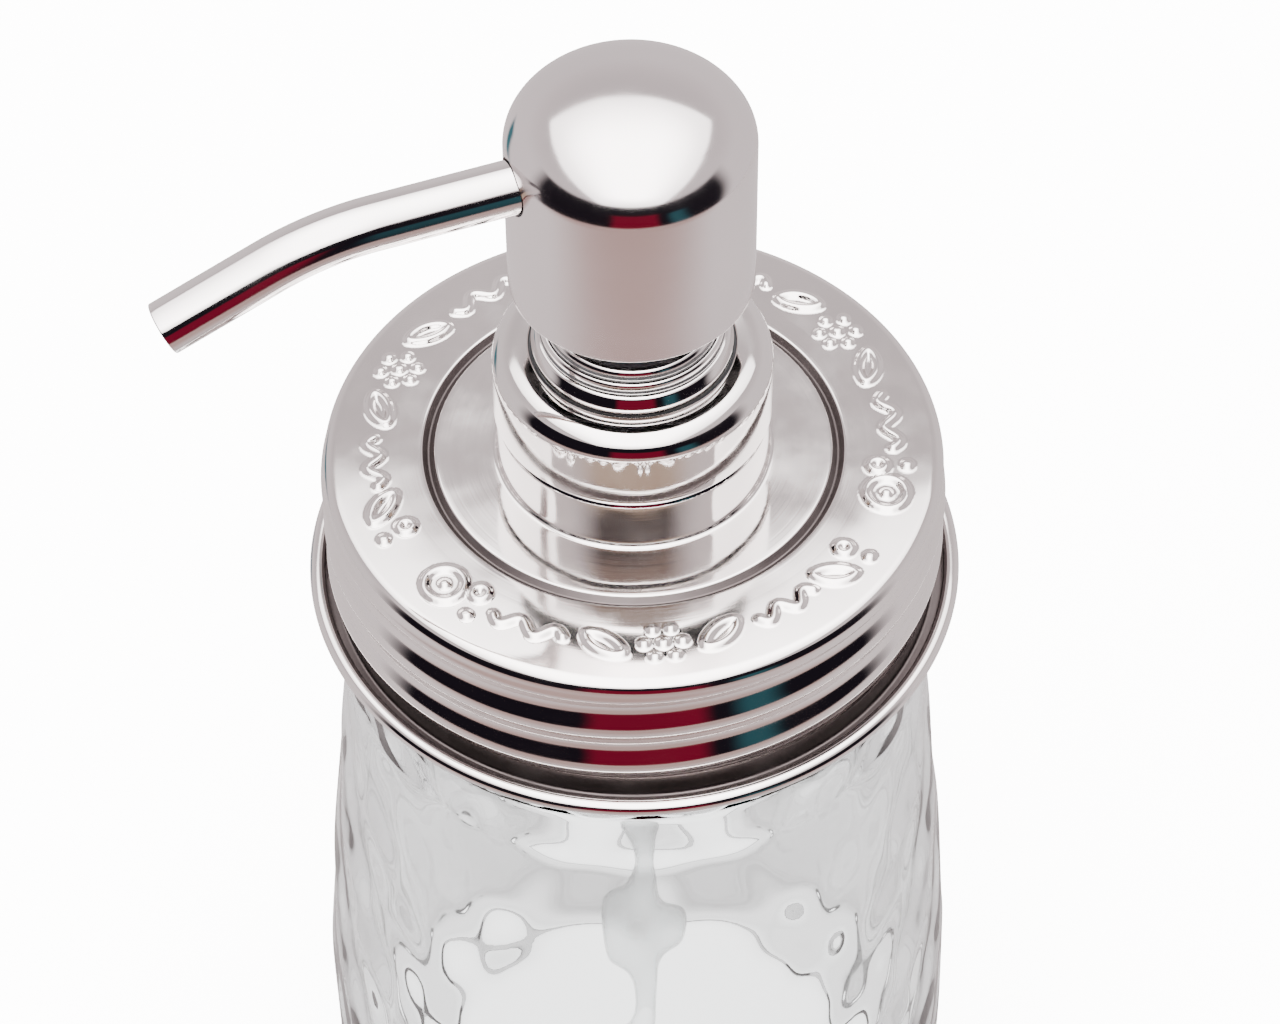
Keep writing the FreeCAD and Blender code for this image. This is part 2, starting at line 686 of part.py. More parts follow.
def collar():
    """Steel collar pressed over a threaded plastic insert."""
    skin = cell("sheet")
    radius = cell("collar_radius")
    low = cell("collar_low")
    top = cell("collar_top")
    bend = cell("collar_round")
    node(turned("shell", [
        (radius, low),
        (radius, top - bend),
        (radius - bend, top, bend, 1),
        (cell("collar_hole"), top - cell("collar_dip")),
        (cell("collar_hole"), top - cell("collar_dip") - skin),
        (radius - bend, top - skin),
        (radius - skin, top - bend, bend - skin, -1),
        (radius - skin, low),
    ]), "collar_shell")
    insert_low = low + cell("insert_inset")
    body = turned("closure", [
        (radius - skin, insert_low),
        (radius - skin, top - bend),
        (radius - bend, top - skin, bend - skin, 1),
        (cell("web_hole") + 0.9, cell("web_top")),
        (cell("web_hole"), cell("web_top")),
        (cell("web_hole"), cell("web_low")),
        (cell("thread_bore"), cell("web_low")),
        (cell("thread_bore"), cell("skirt_top")),
        (cell("skirt_bore"), cell("skirt_top")),
        (cell("skirt_bore"), insert_low),
    ])
    thread = ridge(number("thread_bore"), number("thread_minor"), number("insert_pitch"),
                   number("insert_turns"), number("insert_width"))
    whole = doc.addObject("Part::Fuse", "closure_whole")
    whole.Base = body
    whole.Tool = feature("closure_thread", thread,
                         number("insert_top") - number("closure_start"))
    node(whole, "collar_insert")


# ---- plunger and head ------------------------------------------------------------------

def plunger():
    node(turned("stem", [
        (cell("stem_bore"), cell("stem_low")),
        (cell("stem_foot"), cell("stem_low")),
        (cell("stem_foot"), cell("piston_low")),
        (cell("stem_radius"), cell("piston_low")),
        (cell("stem_radius"), cell("stem_top")),
        (cell("stem_bore"), cell("stem_top")),
        (cell("stem_bore"), cell("outlet_seat") + 0.6),
        (cell("outlet_bore"), cell("outlet_seat")),
        (cell("outlet_bore"), cell("outlet_seat") - 1.5),
        (cell("stem_bore"), cell("outlet_seat") - 2.5),
    ]), "stem")
    lip = cell("piston_lip_height")
    bevel = cell("piston_bevel")
    low = cell("piston_low")
    top = cell("piston_top")
    node(turned("piston", [
        (cell("stem_radius"), low),
        (cell("piston_lip") - bevel, low),
        (cell("piston_lip"), low + 0.3),
        (cell("piston_lip"), low + lip),
        (cell("piston_body"), low + lip + 0.7),
        (cell("piston_body"), top - lip - 0.7),
        (cell("piston_lip"), top - lip),
        (cell("piston_lip"), top - 0.3),
        (cell("piston_lip") - bevel, top),
        (cell("stem_radius"), top),
    ]), "piston")
    node(tube("stop", cell("outlet_bore"), cell("stem_bore"), cell("stop_low"),
              cell("stem_top")), "outlet_stop")


def dome_points(inset):
    """Points of the dome's elliptical outline where its slope is DOME_SLOPES."""
    radius = number("head_radius")
    height = number("dome_height")
    points = []
    for slope in DOME_SLOPES:
        tilt = math.radians(slope)
        along = math.atan2(height * math.sin(tilt), radius * math.cos(tilt))
        points.append(Vector(
            radius * math.cos(along) - inset * math.cos(tilt),
            number("head_spring") + height * math.sin(along) - inset * math.sin(tilt),
            0))
    return points


def dome_bend(points, index):
    """Radius of the arc between two of those points."""
    turn = math.radians(DOME_SLOPES[index + 1] - DOME_SLOPES[index])
    return (points[index + 1] - points[index]).Length / (2 * math.sin(turn / 2))


def head():
    skin = cell("sheet")
    radius = cell("head_radius")
    spring = cell("head_spring")
    crest = spring + cell("dome_height")
    outer = dome_points(0)
    inner = dome_points(skin.number)
    arcs = len(DOME_SLOPES) - 1
    outline = [(radius, cell("head_low")), (radius, spring)]
    for index in range(arcs):
        end = outer[index + 1]
        outline.append((end.x, end.y, dome_bend(outer, index), 1))
    outline += [
        (0, crest, CROWN, 1),
        (0, crest - skin),
        (inner[arcs].x, inner[arcs].y, CROWN, -1),
    ]
    for index in reversed(range(1, arcs)):
        end = inner[index]
        outline.append((end.x, end.y, dome_bend(inner, index), -1))
    outline += [
        (radius - skin, spring, dome_bend(inner, 0), -1),
        (radius - skin, cell("head_low")),
    ]
    dome = turned("dome", outline)
    outside = radius + 3
    hole = side_cylinder("dome_hole", cell("spout_hole"), cell("spout_height"), 6, outside)
    node(cut("dome_cut", dome, hole), "head_shell")

    core = turned("core", [
        (cell("core_radius"), cell("core_low")),
        (cell("core_radius"), cell("core_shelf")),
        (cell("core_crest_radius"), cell("core_crest")),
        (0, cell("core_crest")),
        (0, cell("spout_height") + 2),
        (cell("core_passage"), cell("spout_height") + 2),
        (cell("core_passage"), cell("stem_top") + 0.2),
        (cell("core_socket"), cell("stem_top") + 0.2),
        (cell("core_socket"), cell("core_low")),
        (cell("core_hub"), cell("core_low")),
        (cell("core_hub"), cell("core_pocket")),
        (cell("core_rim"), cell("core_pocket")),
        (cell("core_rim"), cell("core_low")),
    ])
    ribs = []
    for index in range(int(number("rib_count"))):
        rib = doc.addObject("Part::Box", f"rib_{index}")
        bind(rib, "Length", cell("core_rim") - cell("core_hub") + 1)
        bind(rib, "Width", cell("rib_thick"))
        bind(rib, "Height", cell("core_pocket") - cell("core_low") - 0.5)
        angle = 360 * index / number("rib_count")
        turn = Rotation(Vector(0, 0, 1), angle)
        offset = turn.multVec(Vector(number("core_hub") - 0.5, -number("rib_thick") / 2, 0))
        offset.z = number("core_low") + 1
        rib.Placement = Placement(offset, turn)
        ribs.append(rib)
    ribbed = doc.addObject("Part::MultiFuse", "core_ribbed")
    ribbed.Shapes = [core] + ribs
    socket = side_cylinder("core_socket", cell("spout_socket"), cell("spout_height"),
                           cell("spout_start"), outside)
    channel = side_cylinder("core_channel", cell("core_passage"), cell("spout_height"), 0, 8)
    with_socket = cut("core_with_socket", ribbed, socket)
    node(cut("core_cut", with_socket, channel), "head_core")


def spout():
    """Straight tube, bent down once, cut square at its tip."""
    height = number("spout_height")
    reach = number("spout_reach")
    bend = number("spout_bend")
    angle = math.radians(number("spout_angle"))
    start = Vector(-number("spout_start"), 0, height)
    corner = Vector(-reach, 0, height)

    def on_bend(turn):
        return corner + Vector(-bend * math.sin(turn), 0, -bend * (1 - math.cos(turn)))

    end = on_bend(angle)
    tip = end + Vector(-math.cos(angle), 0, -math.sin(angle)) * number("spout_tip")
    path = Part.Wire([
        Part.LineSegment(start, corner).toShape(),
        Part.Arc(corner, on_bend(angle / 2), end).toShape(),
        Part.LineSegment(end, tip).toShape(),
    ])

    def rod(radius):
        circle = Part.Wire(Part.Circle(start, Vector(-1, 0, 0), radius).toShape())
        return path.makePipeShell([circle], True, False)

    return node(feature("spout_tube", rod(number("spout_radius")).cut(rod(number("spout_bore")))),
                "spout")


def main():
    glass_jar()
    lid_seal()
    screw_lid()
    neck_pieces()
    pump_housing()
    ball("inlet_ball", cell("inlet_ball_radius"), cell("inlet_ball_height"))
    pump_spring()
    lock_ring()
    collar()
    plunger()
    ball("outlet_ball", cell("outlet_ball_radius"), cell("outlet_ball_height"))
    head()
    spout()
    doc.recompute()
    for thing in doc.Objects:
        if "Invalid" in thing.State or "Error" in thing.State:
            raise RuntimeError(f"{thing.Name} failed: {thing.State}")
    os.makedirs("parts", exist_ok=True)
    for thing in nodes:
        shape = thing.Shape
        if shape.isNull() or not shape.isValid() or len(shape.Solids) == 0:
            raise RuntimeError(f"{thing.Label} has no valid solid")
    for thing in nodes:
        thing.Shape.exportStep(f"parts/{thing.Label}.step")
        print(thing.Label, round(thing.Shape.Volume, 1), len(thing.Shape.Solids))


main()
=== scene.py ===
import math

import bmesh
import bpy
import numpy as np
from mathutils import Matrix, Vector


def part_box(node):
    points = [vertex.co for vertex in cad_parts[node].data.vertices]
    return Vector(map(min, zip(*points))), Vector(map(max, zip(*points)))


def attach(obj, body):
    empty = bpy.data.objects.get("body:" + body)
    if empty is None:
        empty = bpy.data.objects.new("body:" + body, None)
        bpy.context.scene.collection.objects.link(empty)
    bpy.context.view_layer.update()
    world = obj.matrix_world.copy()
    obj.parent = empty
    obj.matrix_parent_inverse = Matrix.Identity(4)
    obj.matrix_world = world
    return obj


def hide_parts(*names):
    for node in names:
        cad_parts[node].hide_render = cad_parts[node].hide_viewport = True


# Soap pump dispenser: polished steel pump and pressed lid on a faceted glass jar.
# Profiles are (radius, height) in millimetres in the part's own frame; meshes are metres.

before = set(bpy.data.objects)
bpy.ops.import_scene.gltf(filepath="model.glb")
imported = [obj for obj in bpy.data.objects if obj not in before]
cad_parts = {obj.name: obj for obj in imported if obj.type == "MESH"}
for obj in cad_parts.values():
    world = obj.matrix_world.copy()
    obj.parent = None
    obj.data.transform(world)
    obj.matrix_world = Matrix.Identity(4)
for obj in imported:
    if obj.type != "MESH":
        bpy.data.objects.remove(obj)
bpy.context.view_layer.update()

MM = 0.001


def low_high(node):
    """Lowest and highest corner of a CAD node, in millimetres."""
    low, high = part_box(node)
    return np.array(low) / MM, np.array(high) / MM


# ---- camera ----------------------------------------------------------------------------

lid_low, lid_high = low_high("screw_lid")
BOSS_TOP = float(lid_high[2])
PLATE_TOP = BOSS_TOP - 7.2
CAMERA_AZIMUTH = math.radians(-19.8)
CAMERA_ELEVATION = math.radians(47.94)
CAMERA_ROLL = math.radians(-0.46)
CAMERA_DISTANCE = 0.5
CAMERA_LENS = 123.2


def make_camera():
    data = bpy.data.cameras.new("camera")
    data.sensor_width = 36.0
    data.lens = CAMERA_LENS
    data.clip_start = 0.01
    data.clip_end = 20.0
    camera = bpy.data.objects.new("camera", data)
    bpy.context.scene.collection.objects.link(camera)
    flat = math.cos(CAMERA_ELEVATION)
    back = Vector((
        math.sin(CAMERA_AZIMUTH) * flat,
        -math.cos(CAMERA_AZIMUTH) * flat,
        math.sin(CAMERA_ELEVATION),
    ))
    camera.location = Vector((0, 0, PLATE_TOP * MM)) + back * CAMERA_DISTANCE
    right = Vector((math.cos(CAMERA_AZIMUTH), math.sin(CAMERA_AZIMUTH), 0))
    target = Vector((0, 0, (PLATE_TOP - 11.8) * MM)) + right * 0.0007
    camera.rotation_mode = "QUATERNION"
    aim = (target - camera.location).to_track_quat("-Z", "Y")
    roll = Matrix.Rotation(CAMERA_ROLL, 3, "Z").to_quaternion()
    camera.rotation_quaternion = aim @ roll
    bpy.context.scene.camera = camera


make_camera()


# ---- mesh helpers ----------------------------------------------------------------------

def rounded(corners, step=0.8, closed=True):
    """Points along a profile of (radius, height, rounding) corners."""
    places = [np.array(corner[:2], float) for corner in corners]
    points = []
    for index, corner in enumerate(corners):
        here = places[index]
        at_end = not closed and index in (0, len(corners) - 1)
        if at_end or corner[2] == 0:
            points.append(here)
            continue
        before = places[index - 1] - here
        after = places[(index + 1) % len(corners)] - here
        before /= np.linalg.norm(before)
        after /= np.linalg.norm(after)
        half = math.acos(float(np.clip(before @ after, -1, 1))) / 2
        middle = before + after
        middle /= np.linalg.norm(middle)
        centre = here + middle * corner[2] / math.sin(half)
        start = here + before * corner[2] / math.tan(half) - centre
        end = here + after * corner[2] / math.tan(half) - centre
        first = math.atan2(start[1], start[0])
        turn = (math.atan2(end[1], end[0]) - first + math.pi) % (2 * math.pi) - math.pi
        steps = max(4, math.ceil(abs(turn) / math.radians(6)))
        for angle in np.linspace(first, first + turn, steps + 1):
            points.append(centre + corner[2] * np.array([math.cos(angle), math.sin(angle)]))
    return divided(points, step, closed)


def divided(points, step, closed):
    """The same polyline with its long runs cut into pieces no longer than step."""
    result = []
    for index, point in enumerate(points):
        result.append(point)
        if not closed and index == len(points) - 1:
            break
        after = points[(index + 1) % len(points)]
        extra = int(np.linalg.norm(after - point) // step)
        for part in range(1, extra + 1):
            result.append(point + (after - point) * part / (extra + 1))
    return np.array(result)


def smoothstep(low, high, value):
    part = np.clip((value - low) / (high - low), 0, 1)
    return part * part * (3 - 2 * part)


def around(columns):
    return np.linspace(0, 2 * math.pi, columns, endpoint=False)


def spun(points, columns):
    """Rows of a round surface through profile points."""
    angles = around(columns)
    radius = points[:, :1]
    rows = np.empty((len(points), columns, 3))
    rows[:, :, 0] = radius * np.cos(angles)
    rows[:, :, 1] = radius * np.sin(angles)
    rows[:, :, 2] = points[:, 1:]
    return rows


def mesh_piece(name, points, faces, sharp=40):
    mesh = bpy.data.meshes.new(name)
    mesh.from_pydata(points, [], faces)
    work = bmesh.new()
    work.from_mesh(mesh)
    bmesh.ops.recalc_face_normals(work, faces=work.faces)
    work.to_mesh(mesh)
    work.free()
    mesh.shade_smooth()
    mesh.set_sharp_from_angle(angle=math.radians(sharp))
    piece = bpy.data.objects.new(name, mesh)
    bpy.context.scene.collection.objects.link(piece)
    return piece


def lathe(name, rows, poles=None, sharp=40):
    """A closed surface over rows of points round the axis.

    Without poles the last row joins the first; poles are the heights at which an open
    run of rows meets the axis at its start and end.
    """
    count, columns, _ = rows.shape
    points = [tuple(point) for point in (rows.reshape(-1, 3) * MM).tolist()]
    grid = np.arange(count * columns).reshape(count, columns)
    after = np.roll(grid, -1, axis=1)
    if poles is None:
        lower, lower_after = grid, after
        upper, upper_after = np.roll(grid, -1, axis=0), np.roll(after, -1, axis=0)
    else:
        lower, lower_after = grid[:-1], after[:-1]
        upper, upper_after = grid[1:], after[1:]
    quads = np.stack([lower, lower_after, upper_after, upper], axis=-1).reshape(-1, 4)
    faces = quads.tolist()
    if poles is not None:
        for height, row in zip(poles, (0, count - 1)):
            pole = len(points)
            points.append((0.0, 0.0, height * MM))
            for column in range(columns):
                faces.append((pole, int(grid[row, column]), int(after[row, column])))
    return mesh_piece(name, points, faces, sharp)


def finish_piece(piece, material, body, slot, *nodes):
    piece.data.materials.clear()
    piece.data.materials.append(material)
    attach(piece, body)
    if nodes:
        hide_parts(*nodes)


# ---- material helpers ------------------------------------------------------------------

class Look:
    """A node material under construction."""

    def __init__(self, name):
        self.material = bpy.data.materials.new(name)
        self.material.use_nodes = True
        self.tree = self.material.node_tree
        self.shader = self.tree.nodes["Principled BSDF"]
        self.place = self.add("ShaderNodeTexCoord").outputs["Object"]

    def add(self, kind, **settings):
        made = self.tree.nodes.new(kind)
        for key, value in settings.items():
            setattr(made, key, value)
        return made

    def put(self, value, socket):
        if isinstance(value, bpy.types.NodeSocket):
            self.tree.links.new(value, socket)
        else:
            socket.default_value = value

    def math(self, operation, *values):
        made = self.add("ShaderNodeMath", operation=operation)
        for value, socket in zip(values, made.inputs):
            self.put(value, socket)
        return made.outputs[0]

    def noise(self, scale, detail=3.0, place=None, rough=0.55):
        made = self.add("ShaderNodeTexNoise")
        self.put(self.place if place is None else place, made.inputs["Vector"])
        made.inputs["Scale"].default_value = scale
        made.inputs["Detail"].default_value = detail
        made.inputs["Roughness"].default_value = rough
        return made.outputs["Fac"]

    def spread(self, value, low, high, to_low=0.0, to_high=1.0):
        made = self.add("ShaderNodeMapRange", interpolation_type="SMOOTHSTEP")
        for item, socket in zip((value, low, high, to_low, to_high), made.inputs):
            self.put(item, socket)
        return made.outputs[0]

    def blend(self, share, one, other):
        made = self.add("ShaderNodeMix", data_type="RGBA")
        self.put(share, made.inputs[0])
        self.put(one, made.inputs[6])
        self.put(other, made.inputs[7])
        return made.outputs[2]

    def stretched(self, scale):
        made = self.add("ShaderNodeMapping")
        self.put(self.place, made.inputs["Vector"])
        made.inputs["Scale"].default_value = scale
        return made.outputs["Vector"]

    def turning(self):
        """Coordinates (distance from the axis, height) of a turned piece."""
        split = self.add("ShaderNodeSeparateXYZ")
        self.put(self.place, split.inputs[0])
        square = self.math("ADD", self.math("POWER", split.outputs[0], 2.0),
                           self.math("POWER", split.outputs[1], 2.0))
        joined = self.add("ShaderNodeCombineXYZ")
        self.put(self.math("SQRT", square), joined.inputs[0])
        self.put(split.outputs[2], joined.inputs[2])
        return joined.outputs[0]

    def bump(self, height, distance, strength=1.0, under=None):
        made = self.add("ShaderNodeBump")
        made.inputs["Strength"].default_value = strength
        made.inputs["Distance"].default_value = distance
        self.put(height, made.inputs["Height"])
        if under is not None:
            self.put(under, made.inputs["Normal"])
        return made.outputs["Normal"]

    def set(self, name, value):
        self.put(value, self.shader.inputs[name])


def shade(colour, factor):
    return (colour[0] * factor, colour[1] * factor, colour[2] * factor, 1.0)


def steel(name, colour, rough, lines="turned", waviness=0.00012, wave_scale=70.0, dull=0.06):
    """Polished stainless sheet: faint polishing lines, waviness, smears and dust."""
    look = Look(name)
    if lines == "turned":
        grain_place = look.turning()
        grain = look.noise(5200.0, 2.0, grain_place)
        broad = look.noise(900.0, 2.0, grain_place)
    elif lines == "along":
        grain_place = look.stretched((60.0, 5200.0, 5200.0))
        grain = look.noise(1.0, 2.0, grain_place)
        broad = look.noise(1.0, 2.0, look.stretched((20.0, 900.0, 900.0)))
    else:
        grain = look.noise(5200.0, 2.0)
        broad = look.noise(900.0, 2.0)
    smear = look.noise(85.0, 4.0, rough=0.6)
    cloud = look.noise(28.0, 2.0)
    dust = look.noise(1500.0, 1.0)
    tint = look.blend(look.spread(cloud, 0.35, 0.65), shade(colour, 0.95), shade(colour, 1.04))
    specks = look.spread(dust, 0.74, 0.8, 0.0, 0.12)
    look.set("Base Color", look.blend(specks, tint, shade(colour, 0.8)))
    worn = look.spread(smear, 0.42, 0.68, rough, rough + dull)
    streaked = look.math("ADD", worn, look.math("MULTIPLY", broad, 0.03))
    look.set("Roughness", streaked)
    look.set("Metallic", 1.0)
    wave = look.bump(look.noise(wave_scale, 1.5), waviness)
    lined = look.bump(broad, 0.0000035, under=wave)
    look.set("Normal", look.bump(grain, 0.0000012, under=lined))
    return look.material


def plastic(name, colour, rough, clear=0.0, grain_scale=2600.0):
    """Moulded plastic with a fine spark-eroded skin and slight flow marks."""
    look = Look(name)
    cloud = look.noise(60.0, 3.0)
    fine = look.noise(grain_scale, 2.0)
    flow = look.noise(1.0, 2.0, look.stretched((90.0, 90.0, 14.0)))
    look.set("Base Color", look.blend(cloud, shade(colour, 0.95), shade(colour, 1.03)))
    look.set("Roughness", look.spread(flow, 0.3, 0.7, rough, rough + 0.12))
    look.set("Normal", look.bump(fine, 0.000006, under=look.bump(flow, 0.00004)))
    look.shader.inputs["IOR"].default_value = 1.49
    look.shader.inputs["Subsurface Weight"].default_value = 0.0 if clear else 0.15
    look.shader.inputs["Subsurface Radius"].default_value = (0.0012, 0.0011, 0.001)
    look.shader.inputs["Subsurface Scale"].default_value = 1.0
    look.shader.inputs["Transmission Weight"].default_value = clear
    return look.material


def rubber(name, colour):
    look = Look(name)
    cloud = look.noise(140.0, 3.0)
    look.set("Base Color", look.blend(cloud, shade(colour, 0.9), shade(colour, 1.05)))
    look.set("Roughness", look.spread(look.noise(420.0, 3.0), 0.3, 0.7, 0.45, 0.62))
    look.set("Normal", look.bump(look.noise(1800.0, 3.0), 0.00001))
    look.shader.inputs["Transmission Weight"].default_value = 0.25
    look.shader.inputs["IOR"].default_value = 1.41
    return look.material


def clear_glass(name):
    """Pressed glass: clear, with chill marks and slow waves from the mould."""
    look = Look(name)
    chill = look.noise(1.0, 3.0, look.stretched((120.0, 120.0, 45.0)))
    slow = look.noise(42.0, 1.0)
    film = look.noise(160.0, 4.0)
    look.set("Base Color", look.blend(slow, (0.965, 0.975, 0.975, 1.0), (0.99, 0.995, 0.995, 1.0)))
    look.set("Roughness", look.spread(film, 0.45, 0.75, 0.0, 0.02))
    look.set("Normal", look.bump(chill, 0.000015, under=look.bump(slow, 0.0001)))
    look.shader.inputs["IOR"].default_value = 1.5
    look.shader.inputs["Transmission Weight"].default_value = 1.0
    return look.material


LID_STEEL = steel("lid_steel", (0.80, 0.765, 0.755), 0.05)
# Near-black steel for the lid's groove and the slot above the bead: painted shade in these
# hollows, not a darker metal.
PAINTED_SHADE_STEEL = steel("lid_painted_shade", (0.10, 0.085, 0.085), 0.35, dull=0.2)
HEAD_STEEL = steel("head_steel", (0.80, 0.755, 0.755), 0.07)
COLLAR_STEEL = steel("collar_steel", (0.82, 0.785, 0.775), 0.035)
SPOUT_STEEL = steel("spout_steel", (0.81, 0.775, 0.77), 0.05, lines="along", waviness=0.00004)
BALL_STEEL = steel("ball_steel", (0.66, 0.66, 0.67), 0.12, lines="even", waviness=0.00001)
GLASS = clear_glass("jar_glass")
WHITE = plastic("white_plastic", (0.84, 0.84, 0.82), 0.38)
BLACK = plastic("black_plastic", (0.022, 0.022, 0.024), 0.3)
MILKY = plastic("milky_plastic", (0.95, 0.965, 0.965), 0.12, clear=0.93)
SILICONE = rubber("silicone", (0.8, 0.8, 0.79))


# ---- lid -------------------------------------------------------------------------------

LID_COLUMNS = 960
JAR_PITCH = 6.35
GROOVE_RADIUS = 23.4
ORNAMENT_RADIUS = 29.6
ORNAMENT_HEIGHT = 0.55
ORNAMENT_HALF_WIDTH = 0.78


def ring_stroke(along, across, radius):
    turn = np.linspace(0, 2 * math.pi, 25)
    return np.stack([along + radius * np.cos(turn), across + radius * np.sin(turn)], axis=1)


def wave_stroke(start, end, height, waves):
    along = np.linspace(start, end, 16 * waves + 1)
    across = height * np.sin((along - start) / (end - start) * 2 * math.pi * waves)
    return np.stack([along, across], axis=1)


def leaf_stroke(along, across, length, lean):
    """Outline of a small leaf that leans along the border."""
    turn = np.linspace(0, 2 * math.pi, 33)
    run = length * np.cos(turn)
    width = length * 0.42 * np.sin(turn) * np.abs(np.sin(turn)) ** 0.4
    return np.stack([along + run * math.cos(lean) - width * math.sin(lean),
                     across + run * math.sin(lean) + width * math.cos(lean)], axis=1)


def ornament_strokes():
    """One third of the pressed border: bubbles, ripples, leaves and a flower."""
    return [
        ring_stroke(-26.6, 0.0, 2.3),
        ring_stroke(-26.6, 0.0, 0.15),
        ring_stroke(-22.6, -1.6, 0.9),
        ring_stroke(-22.0, 1.7, 0.2),
        wave_stroke(-19.6, -11.2, 0.8, 2),
        leaf_stroke(-6.6, 0.1, 2.5, 0.5),
        ring_stroke(0.0, 0.0, 0.2),
        *[ring_stroke(2.15 * math.cos(turn), 2.15 * math.sin(turn), 0.12) for turn in around(6)],
        leaf_stroke(6.6, 0.1, 2.5, -0.5),
        wave_stroke(11.2, 18.6, 0.8, 2),
        leaf_stroke(21.8, 0.2, 2.4, 0.8),
        ring_stroke(25.6, -1.2, 0.8),
        ring_stroke(26.2, 1.8, 0.2),
    ]


def stroke_distance(along, across, strokes):
    """Distance of each point from the nearest stroke."""
    nearest = np.full(along.shape, 9.0)
    for stroke in strokes:
        for start, end in zip(stroke[:-1], stroke[1:]):
            run = end - start
            share = ((along - start[0]) * run[0] + (across - start[1]) * run[1]) / (run @ run)
            share = np.clip(share, 0, 1)
            gap = np.hypot(along - start[0] - share * run[0], across - start[1] - share * run[1])
            nearest = np.minimum(nearest, gap)
    return nearest


def ornament(rows):
    """How far the pressed border stands up at each point of the lid's rows."""
    radius = np.hypot(rows[:, :, 0], rows[:, :, 1])
    angle = np.arctan2(rows[:, :, 1], rows[:, :, 0]) - CAMERA_AZIMUTH + math.radians(84)
    third = 2 * math.pi / 3
    along = ((angle + third / 2) % third - third / 2) * ORNAMENT_RADIUS
    share = np.clip(stroke_distance(along, radius - ORNAMENT_RADIUS, ornament_strokes())
                    / ORNAMENT_HALF_WIDTH, 0, 1)
    return ORNAMENT_HEIGHT * (1 - share ** 2) ** 1.6


def rolled_radius(drop, angle):
    """Radius of the rolled thread, by its depth under the lid's top and its angle."""
    front = CAMERA_AZIMUTH - math.pi / 2
    crest = 8.0 - JAR_PITCH * (angle - front) / (2 * math.pi)
    wave = 0.5 + 0.5 * np.cos(2 * math.pi * (drop - crest) / JAR_PITCH)
    reach = smoothstep(17.0, 15.6, drop)
    return 35.0 + 0.9 * wave * reach


def plate_fall(radius):
    """How far the lid's top has sunk towards the rim."""
    return 0.25 * (np.maximum(radius - 27.0, 0.0) / 7.0) ** 2


def pressed_lid():
    sheet = 0.4
    top = PLATE_TOP
    upper = rounded([
        (12.2, BOSS_TOP - sheet, 0.12),
        (12.2, BOSS_TOP, 0.18),
        (15.5, BOSS_TOP, 0.85),
        (15.5, top, 0.6),
        (22.6, top, 0.35),
        (GROOVE_RADIUS, top - 0.85, 0.25),
        (24.2, top, 0.35),
        (25.2, top, 0),
        (35.5, top, 1.5),
        (35.5, top - 1.7, 0),
    ], step=0.5, closed=False)
    plain = upper[upper[:, 0] < 25.0]
    border = np.stack([np.linspace(25.2, 33.9, 50), np.full(50, top)], axis=1)
    edge = rounded([(33.9, top, 0), (35.5, top, 1.5), (35.5, top - 1.7, 0)], 0.2, closed=False)[1:]
    for part in (border, edge):
        part[:, 1] -= plate_fall(part[:, 0])
    drops = np.linspace(2.25, 17.0, 150)
    bead_height = lid_low[2] + 1.0
    turn = np.radians(np.linspace(200, -150, 48))
    bead = np.stack([37.08 + 1.0 * np.cos(turn), bead_height + 1.0 * np.sin(turn)], axis=1)
    slot = rounded([
        (35.0, top - 17.1, 0),
        (34.95, lid_low[2] + 0.45, 0.35),
        (36.1, lid_low[2] + 0.4, 0),
    ], step=0.2, closed=False)
    inner_foot = rounded([
        (36.1, lid_low[2] + 0.05, 0),
        (34.6, lid_low[2] + 0.05, 0.4),
        (34.58, lid_low[2] + 2.0, 0),
    ], step=0.3, closed=False)
    inside = rounded([
        (35.1, top - 1.7, 0),
        (35.1, top - sheet, 1.1),
        (34.0, top - sheet, 0),
    ], step=0.3, closed=False)
    inner_border = border[::-1] - np.array([0, sheet])
    inner_rest = rounded([
        (25.0, top - sheet, 0),
        (24.8, top - sheet, 0.2),
        (GROOVE_RADIUS, top - 0.75 - sheet, 0.7),
        (22.0, top - sheet, 0.5),
        (15.1, top - sheet, 1.0),
        (15.1, BOSS_TOP - sheet, 0.45),
        (12.5, BOSS_TOP - sheet, 0),
    ], step=0.6, closed=False)
    angles = around(LID_COLUMNS)
    band = spun(np.stack([np.full(len(drops), 35.0), top - drops], axis=1), LID_COLUMNS)
    entry = smoothstep(2.1, 3.7, drops)[:, None]
    radius = 35.5 + (rolled_radius(drops[:, None], angles[None, :]) - 35.5) * entry
    band[:, :, 0] = radius * np.cos(angles)
    band[:, :, 1] = radius * np.sin(angles)
    inner_band = band[::-1][::6].copy()
    shrink = 1 - sheet / np.hypot(inner_band[:, :, 0], inner_band[:, :, 1])
    inner_band[:, :, 0] *= shrink
    inner_band[:, :, 1] *= shrink
    raised = spun(border, LID_COLUMNS)
    lift = ornament(raised)
    raised[:, :, 2] += lift
    under = spun(inner_border, LID_COLUMNS)
    under[:, :, 2] += lift[::-1]
    rows = np.concatenate([
        spun(plain, LID_COLUMNS), raised, spun(edge, LID_COLUMNS), band,
        spun(slot, LID_COLUMNS), spun(bead, LID_COLUMNS), spun(inner_foot, LID_COLUMNS),
        inner_band, spun(inside, LID_COLUMNS), under, spun(inner_rest, LID_COLUMNS),
    ])
    piece = lathe("pressed_lid", rows, sharp=50)
    finish_piece(piece, LID_STEEL, "lid", "polished_steel", "screw_lid")
    # The slot and groove rows take the dark steel, as painted shade where these hollows fall into
    # shadow.
    piece.data.materials.append(PAINTED_SHADE_STEEL)
    slot_start = len(plain) + len(border) + len(edge) + len(drops)
    groove = np.flatnonzero(np.abs(upper[:-1, 0] + upper[1:, 0] - 2 * GROOVE_RADIUS) < 1.25)
    for row in [*range(slot_start, slot_start + len(slot)), *groove.tolist()]:
        for index in range(row * LID_COLUMNS, (row + 1) * LID_COLUMNS):
            piece.data.polygons[index].material_index = 1


pressed_lid()


